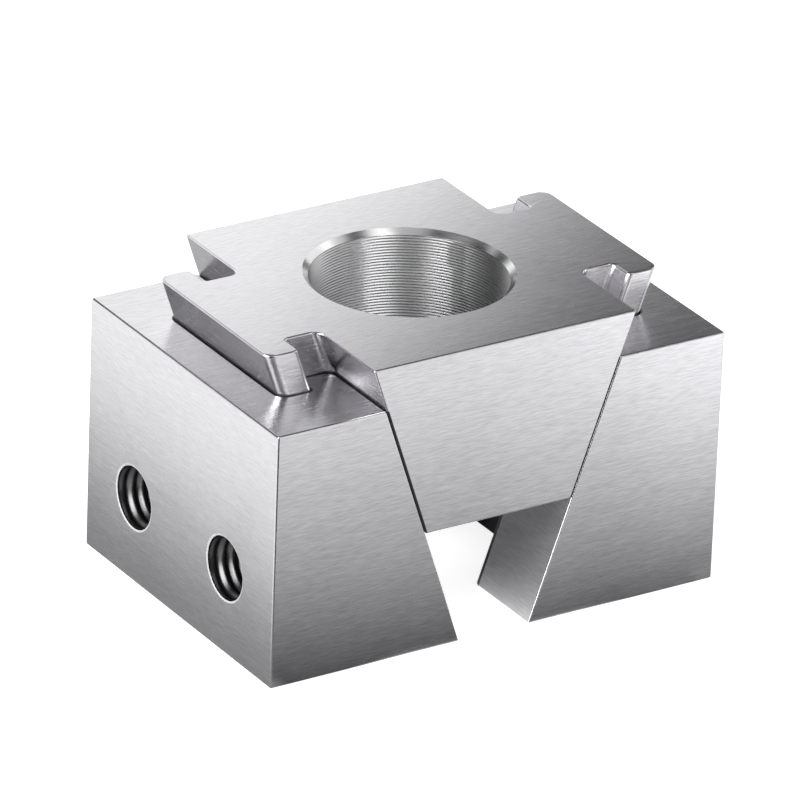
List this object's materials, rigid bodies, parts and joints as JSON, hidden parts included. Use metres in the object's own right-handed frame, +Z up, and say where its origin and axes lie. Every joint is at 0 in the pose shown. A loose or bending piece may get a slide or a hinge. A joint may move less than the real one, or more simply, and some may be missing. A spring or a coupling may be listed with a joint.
{
  "type": "multi-station clamp block",
  "caption": "Two-sided wedge clamp block: a bored wedge with T-keys sits between two slotted jaws and, drawn down, pushes both jaws outwards.",
  "frame": {"origin": "middle of the block on the plane that both jaws stand on", "axes": "+X along the clamping direction from the left jaw to the right jaw, -Y the front, +Z up along the wedge's bore"},
  "size_m": [0.072, 0.05, 0.0445],
  "materials": {
    "ground_steel": "ground, with a fine straight grain"
  },
  "bodies": {
    "left_jaw": {"left_jaw": "ground_steel"},
    "wedge": {"wedge": "ground_steel"},
    "right_jaw": {"right_jaw": "ground_steel"}
  },
  "joints": [
    {"name": "wedge_slide", "type": "slide", "parent": "left_jaw", "child": "wedge", "axis": [0.3305, 0, -0.9438], "range_m": [-0.00318, 0.01271]},
    {"name": "right_jaw_slide", "type": "slide", "parent": "wedge", "child": "right_jaw", "axis": [0.3305, 0, 0.9438], "range_m": [-0.00318, 0.01271]}
  ],
  "couplings": [
    {"joint": "right_jaw_slide", "follows": "wedge_slide", "ratio": 1}
  ]
}
